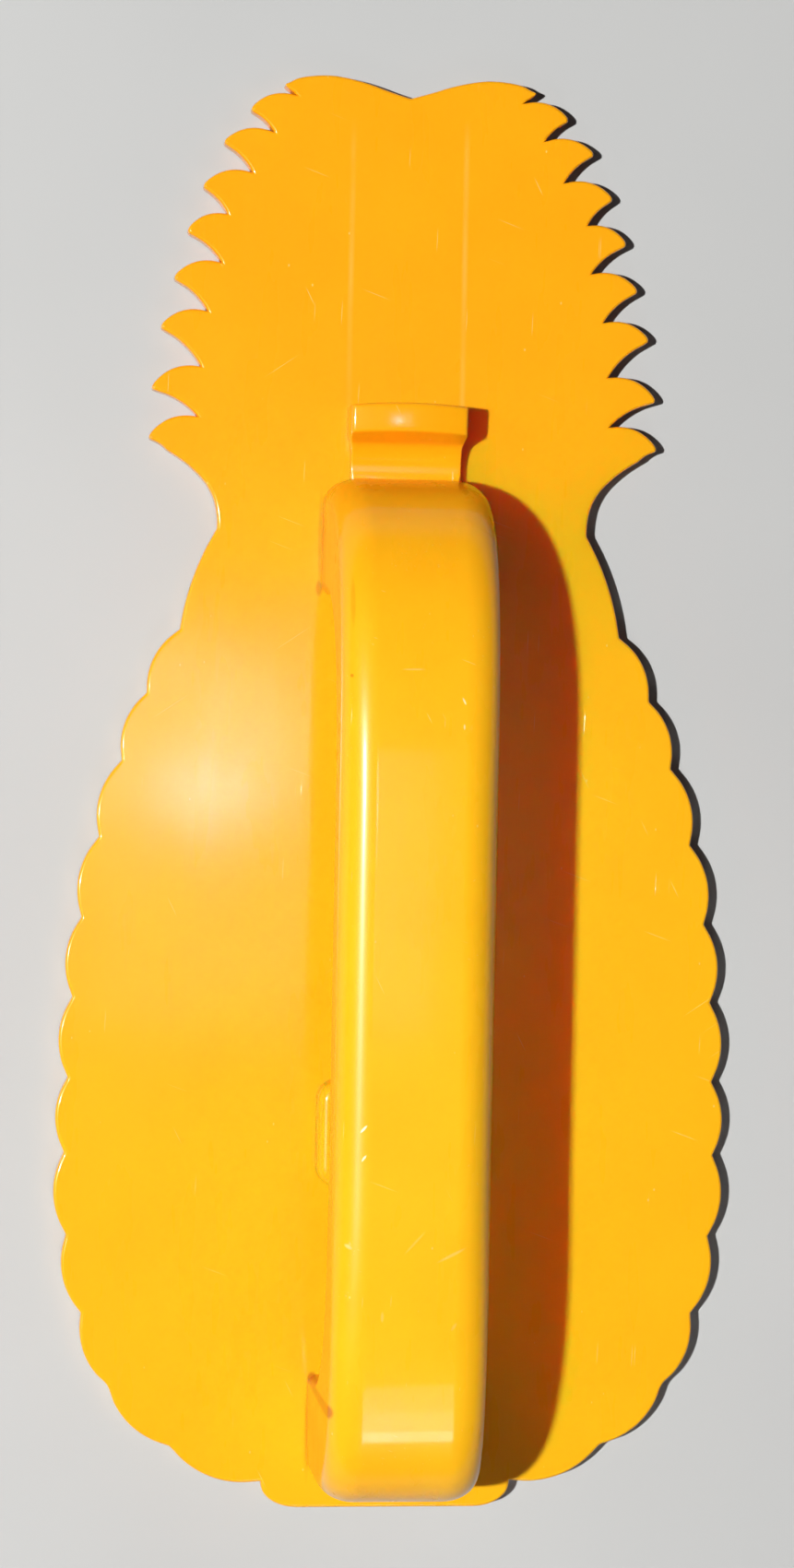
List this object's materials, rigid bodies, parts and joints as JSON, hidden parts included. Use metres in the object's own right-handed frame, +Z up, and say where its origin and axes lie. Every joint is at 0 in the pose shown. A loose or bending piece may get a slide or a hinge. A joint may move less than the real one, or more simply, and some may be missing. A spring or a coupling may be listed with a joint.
{
  "type": "pineapple slicer",
  "caption": "Flat pineapple-shaped guard plate with a strap handle and a thumb slide that pushes a flat serrated blade out of the notch in the crown.",
  "frame": {"origin": "middle of the plate's length and width, on its flat underside", "axes": "+Y along the plate towards the crown, +Z up through the handle, +X to the right seen from above"},
  "size_m": [0.102, 0.2163, 0.034],
  "materials": {
    "plate_plastic": "satin gloss, fine scratches",
    "handle_plastic": "satin gloss, worn edges",
    "liner_plastic": "moulded satin",
    "slide_plastic": "gloss, thumb worn",
    "block_plastic": "natural nylon",
    "blade_steel": "ground and brushed along its length",
    "spring_steel": "rolled strip",
    "fastener_steel": "plain"
  },
  "bodies": {
    "guard": {"pineapple_plate": "plate_plastic", "handle_shell": "handle_plastic", "handle_liner": "liner_plastic", "blade_cover": "liner_plastic", "middle_guide": "plate_plastic", "friction_spring": "spring_steel", "handle_screw_front_left": "fastener_steel", "handle_screw_front_right": "fastener_steel", "handle_screw_rear_left": "fastener_steel", "handle_screw_rear_right": "fastener_steel", "guide_screw_left": "fastener_steel", "guide_screw_right": "fastener_steel", "cover_screw_front_left": "fastener_steel", "cover_screw_front_right": "fastener_steel", "cover_screw_middle_left": "fastener_steel", "cover_screw_middle_right": "fastener_steel", "liner_screw_front": "fastener_steel", "liner_screw_rear": "fastener_steel"},
    "slide": {"thumb_slide": "slide_plastic", "slide_block": "block_plastic", "blade": "blade_steel", "blade_rivet_front": "fastener_steel", "blade_rivet_rear": "fastener_steel"}
  },
  "joints": [
    {"name": "thumb_slide_travel", "type": "slide", "parent": "guard", "child": "slide", "axis": [0, 1, 0], "range_m": [0, 0.0424]}
  ]
}
